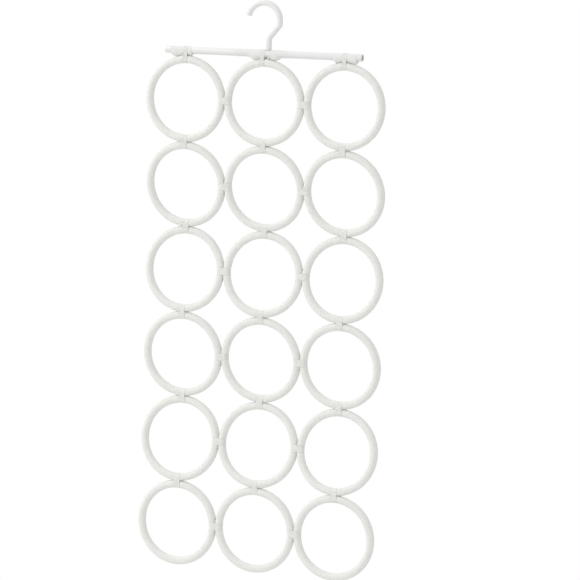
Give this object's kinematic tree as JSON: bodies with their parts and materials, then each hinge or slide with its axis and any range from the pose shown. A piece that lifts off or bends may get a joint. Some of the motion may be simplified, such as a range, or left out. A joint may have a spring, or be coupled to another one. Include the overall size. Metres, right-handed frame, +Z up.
{
  "type": "scarf hanger",
  "caption": "Rail hook riveted through a round bar, with rows of fabric-covered rings tied below it with thread, to pull scarves through; every row folds on its ties.",
  "frame": {"origin": "inside of the hook's top, where the hanger sits on its rail", "axes": "+Z up, +X along the bar towards the closed side of the hook, -Y the pictured front"},
  "size_m": [0.3009, 0.0215, 0.6695],
  "materials": {
    "ring_fabric": "ribbed white jersey",
    "ring_core": "plain",
    "thread": "wound sewing thread",
    "white_steel": "white powder coat"
  },
  "bodies": {
    "hook": {"hook": "white_steel"},
    "bar": {"bar": "white_steel", "outer_binding_left": "ring_fabric", "outer_binding_right": "ring_fabric", "middle_binding": "ring_fabric", "slings": "thread"},
    "row_1": {"ring_cover_1_1": "ring_fabric", "ring_cover_1_2": "ring_fabric", "ring_cover_1_3": "ring_fabric", "ring_core_1_1": "ring_core", "ring_core_1_2": "ring_core", "ring_core_1_3": "ring_core", "side_ties_1": "thread"},
    "ties_2": {"row_ties_2": "thread"},
    "row_2": {"ring_cover_2_1": "ring_fabric", "ring_cover_2_2": "ring_fabric", "ring_cover_2_3": "ring_fabric", "ring_core_2_1": "ring_core", "ring_core_2_2": "ring_core", "ring_core_2_3": "ring_core", "side_ties_2": "thread"},
    "ties_3": {"row_ties_3": "thread"},
    "row_3": {"ring_cover_3_1": "ring_fabric", "ring_cover_3_2": "ring_fabric", "ring_cover_3_3": "ring_fabric", "ring_core_3_1": "ring_core", "ring_core_3_2": "ring_core", "ring_core_3_3": "ring_core", "side_ties_3": "thread"},
    "ties_4": {"row_ties_4": "thread"},
    "row_4": {"ring_cover_4_1": "ring_fabric", "ring_cover_4_2": "ring_fabric", "ring_cover_4_3": "ring_fabric", "ring_core_4_1": "ring_core", "ring_core_4_2": "ring_core", "ring_core_4_3": "ring_core", "side_ties_4": "thread"},
    "ties_5": {"row_ties_5": "thread"},
    "row_5": {"ring_cover_5_1": "ring_fabric", "ring_cover_5_2": "ring_fabric", "ring_cover_5_3": "ring_fabric", "ring_core_5_1": "ring_core", "ring_core_5_2": "ring_core", "ring_core_5_3": "ring_core", "side_ties_5": "thread"},
    "ties_6": {"row_ties_6": "thread"},
    "row_6": {"ring_cover_6_1": "ring_fabric", "ring_cover_6_2": "ring_fabric", "ring_cover_6_3": "ring_fabric", "ring_core_6_1": "ring_core", "ring_core_6_2": "ring_core", "ring_core_6_3": "ring_core", "side_ties_6": "thread"}
  },
  "joints": [
    {"name": "hook_swivel", "type": "hinge", "parent": "hook", "child": "bar", "pos_m": [0.0067, 0, -0.055], "axis": [0, 0, 1], "continuous": true},
    {"name": "row_1_swing", "type": "hinge", "parent": "bar", "child": "row_1", "pos_m": [0.0025, 0, -0.0662], "axis": [1, 0, 0], "range_deg": [-110, 110]},
    {"name": "tie_2_roll", "type": "hinge", "parent": "row_1", "child": "ties_2", "pos_m": [0.0025, 0, -0.1577], "axis": [-1, 0, 0], "range_deg": [-80, 86]},
    {"name": "row_2_roll", "type": "hinge", "parent": "ties_2", "child": "row_2", "pos_m": [0.0025, 0.00047, -0.16659], "axis": [-1, 0, 0], "range_deg": [-80, 86]},
    {"name": "tie_3_roll", "type": "hinge", "parent": "row_2", "child": "ties_3", "pos_m": [0.0025, 0.01003, -0.25759], "axis": [1, 0, 0], "range_deg": [-78, 88]},
    {"name": "row_3_roll", "type": "hinge", "parent": "ties_3", "child": "row_3", "pos_m": [0.0025, 0.01018, -0.26649], "axis": [1, 0, 0], "range_deg": [-78, 88]},
    {"name": "tie_4_roll", "type": "hinge", "parent": "row_3", "child": "ties_4", "pos_m": [0.0025, 0.0038, -0.35776], "axis": [-1, 0, 0], "range_deg": [-79.5, 86.5]},
    {"name": "row_4_roll", "type": "hinge", "parent": "ties_4", "child": "row_4", "pos_m": [0.0025, 0.00373, -0.36666], "axis": [-1, 0, 0], "range_deg": [-79.5, 86.5]},
    {"name": "tie_5_roll", "type": "hinge", "parent": "row_4", "child": "ties_5", "pos_m": [0.0025, 0.00851, -0.45804], "axis": [1, 0, 0], "range_deg": [-78.5, 87.5]},
    {"name": "row_5_roll", "type": "hinge", "parent": "ties_5", "child": "row_5", "pos_m": [0.0025, 0.00828, -0.46693], "axis": [1, 0, 0], "range_deg": [-78.5, 87.5]},
    {"name": "tie_6_roll", "type": "hinge", "parent": "row_5", "child": "ties_6", "pos_m": [0.0025, -0.00128, -0.55793], "axis": [-1, 0, 0], "range_deg": [-79.5, 86.5]},
    {"name": "row_6_roll", "type": "hinge", "parent": "ties_6", "child": "row_6", "pos_m": [0.0025, -0.00167, -0.56682], "axis": [-1, 0, 0], "range_deg": [-79.5, 86.5]}
  ]
}
